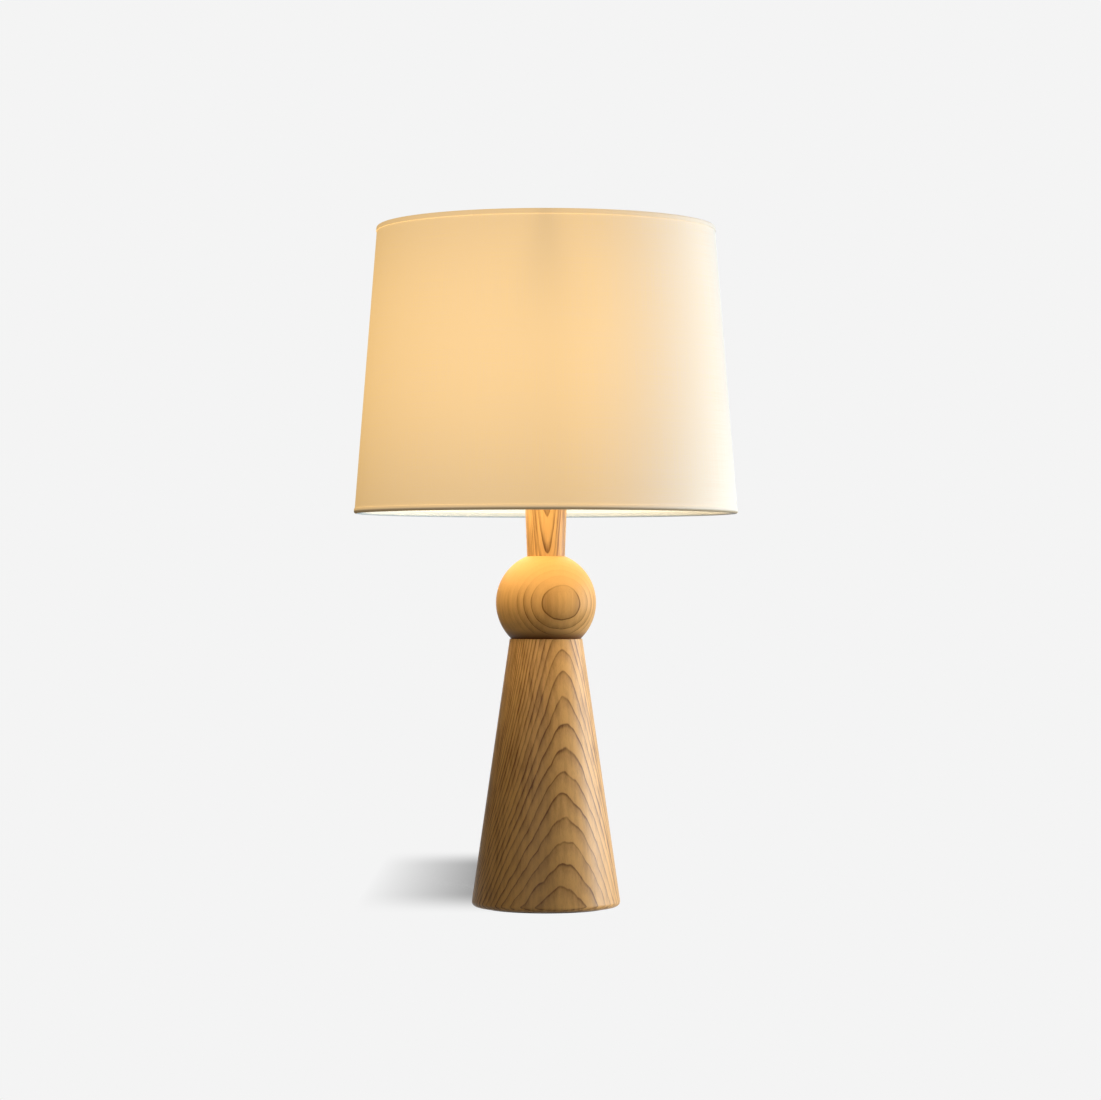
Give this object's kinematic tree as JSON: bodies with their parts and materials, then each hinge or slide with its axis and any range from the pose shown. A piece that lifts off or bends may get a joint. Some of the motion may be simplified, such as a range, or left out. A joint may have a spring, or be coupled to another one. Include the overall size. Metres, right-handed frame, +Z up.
{
  "type": "table lamp",
  "caption": "Table lamp with a turned wooden cone, ball and neck, a screw-in bulb and a tapered fabric drum shade that turns on its lampholder.",
  "frame": {"origin": "on the table, at the centre of the lamp's underside", "axes": "+Z up along the column; the lamp's front is -Y and the cord leaves at the back, +Y"},
  "size_m": [0.34, 0.34, 0.602],
  "materials": {
    "wood": "clear satin oil over honey coloured turned hardwood",
    "felt": "dense wool felt",
    "cast_iron": "rough painted casting",
    "zinc_steel": "bright zinc plate",
    "white_plastic": "fine satin moulding",
    "ceramic": "glazed porcelain",
    "brass": "plain bright brass",
    "white_wire": "white powder coat",
    "shade_linen": "plain woven cotton and linen",
    "shade_liner": "matt translucent film",
    "shade_hem": "folded woven edge",
    "cap_metal": "bright rolled thread",
    "black_glass": "black glass insulator",
    "bulb_glass": "clear thin glass",
    "filament": "phosphor coated strips",
    "driver": "circuit board"
  },
  "bodies": {
    "stand": {"felt_pad": "felt", "base_cone": "wood", "base_ball": "wood", "neck_column": "wood", "ballast_plate": "cast_iron", "tie_rod": "zinc_steel", "bottom_washer": "zinc_steel", "lock_washer": "zinc_steel", "bottom_nut": "zinc_steel", "neck_washer": "zinc_steel", "neck_nut": "zinc_steel", "cord_bushing": "white_plastic", "holder_cap": "white_plastic", "grub_screw": "zinc_steel", "holder_insert": "ceramic", "terminal_screws": "zinc_steel", "centre_contact": "brass", "side_contact": "brass", "screw_shell": "brass", "holder_skirt": "white_plastic"},
    "ring_lifter": {"slip_washer": "white_plastic"},
    "ring": {"shade_ring": "white_plastic"},
    "shade": {"fitter_ring": "white_wire", "shade_arms": "white_wire", "top_hoop": "white_wire", "foot_hoop": "white_wire", "shade_liner": "shade_liner", "shade_fabric": "shade_linen", "seam_strip": "shade_liner", "top_hem": "shade_hem", "foot_hem": "shade_hem"},
    "bulb_tip": {"bulb_contact": "cap_metal", "bulb_insulator": "black_glass"},
    "bulb": {"bulb_cap": "cap_metal", "bulb_glass": "bulb_glass", "bulb_stem": "bulb_glass", "led_filaments": "filament", "filament_wires": "zinc_steel", "bulb_driver": "driver"}
  },
  "joints": [
    {"name": "shade_turn", "type": "hinge", "parent": "stand", "child": "shade", "pos_m": [0, 0, 0.41453], "axis": [0, 0, 1], "continuous": true},
    {"name": "ring_lift", "type": "slide", "parent": "stand", "child": "ring_lifter", "axis": [0, 0, 1], "range_m": [0, 0.025]},
    {"name": "ring_turn", "type": "hinge", "parent": "ring_lifter", "child": "ring", "pos_m": [0, 0, 0.4208], "axis": [0, 0, 1], "range_deg": [0, 3600]},
    {"name": "bulb_lift", "type": "slide", "parent": "stand", "child": "bulb_tip", "axis": [0, 0, 1], "range_m": [0, 0.01815]},
    {"name": "bulb_turn", "type": "hinge", "parent": "bulb_tip", "child": "bulb", "pos_m": [0, 0, 0.43], "axis": [0, 0, 1], "range_deg": [0, 1800]}
  ],
  "couplings": [
    {"joint": "ring_lift", "follows": "ring_turn", "m_per_rad": 0.00039788},
    {"joint": "bulb_lift", "follows": "bulb_turn", "m_per_rad": 0.00057757}
  ]
}
